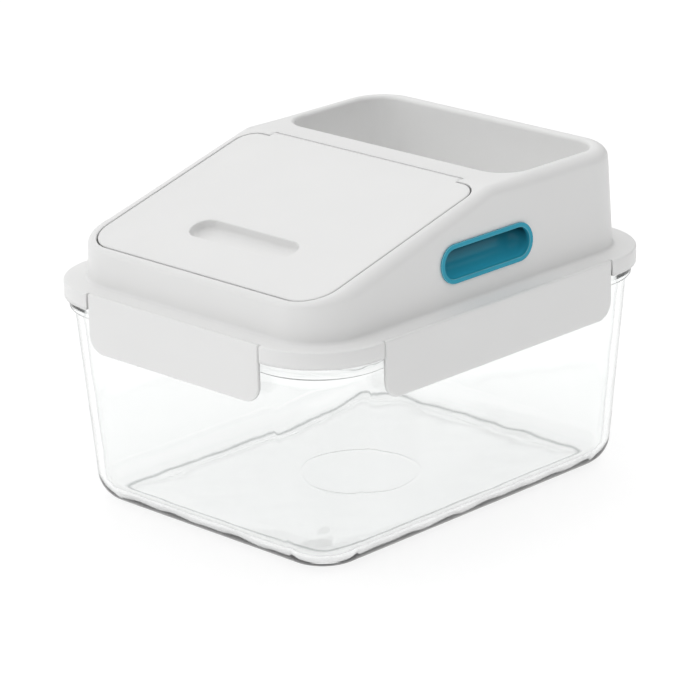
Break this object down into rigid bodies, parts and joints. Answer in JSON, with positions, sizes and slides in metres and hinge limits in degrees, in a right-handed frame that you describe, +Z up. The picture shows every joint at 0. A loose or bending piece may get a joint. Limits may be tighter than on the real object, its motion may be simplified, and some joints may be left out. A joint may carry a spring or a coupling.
{
  "type": "lidded glass canister",
  "caption": "Rectangular glass storage tub with a domed plastic lid: sloping flap door, open tray behind it, side finger grips and fold-down latches.",
  "frame": {"origin": "on the table, under the middle of the glass tub", "axes": "+Z up, +Y to the back where the open tray is, -Y to the front where the flap door slopes down, +X to the right"},
  "size_m": [0.256, 0.32, 0.2146],
  "materials": {
    "clear_glass": "clear polished tempered glass",
    "white_plastic": "satin moulded white polypropylene",
    "silicone": "soft translucent white silicone",
    "teal_plastic": "glossy moulded teal plastic"
  },
  "bodies": {
    "tub": {"glass_tub": "clear_glass"},
    "lid": {"lid_shell": "white_plastic", "lid_gasket": "silicone", "grip_insert_left": "teal_plastic", "grip_insert_right": "teal_plastic"},
    "door": {"flap_door": "white_plastic", "door_seal": "silicone"},
    "front_latch": {"latch_front": "white_plastic"},
    "back_latch": {"latch_back": "white_plastic"},
    "left_latch": {"latch_left": "white_plastic"},
    "right_latch": {"latch_right": "white_plastic"}
  },
  "joints": [
    {"name": "lid_lift", "type": "slide", "parent": "tub", "child": "lid", "axis": [0, 0, 1], "range_m": [0, 0.08]},
    {"name": "door_hinge", "type": "hinge", "parent": "lid", "child": "door", "pos_m": [0, 0.01334, 0.21243], "axis": [-1, 0, 0], "range_deg": [0, 110]},
    {"name": "front_latch_hinge", "type": "hinge", "parent": "lid", "child": "front_latch", "pos_m": [0, -0.15735, 0.149], "axis": [-1, 0, 0], "range_deg": [0, 120]},
    {"name": "back_latch_hinge", "type": "hinge", "parent": "lid", "child": "back_latch", "pos_m": [0, 0.15735, 0.149], "axis": [1, 0, 0], "range_deg": [0, 120]},
    {"name": "left_latch_hinge", "type": "hinge", "parent": "lid", "child": "left_latch", "pos_m": [-0.12535, 0, 0.149], "axis": [0, 1, 0], "range_deg": [0, 120]},
    {"name": "right_latch_hinge", "type": "hinge", "parent": "lid", "child": "right_latch", "pos_m": [0.12535, 0, 0.149], "axis": [0, -1, 0], "range_deg": [0, 120]}
  ]
}
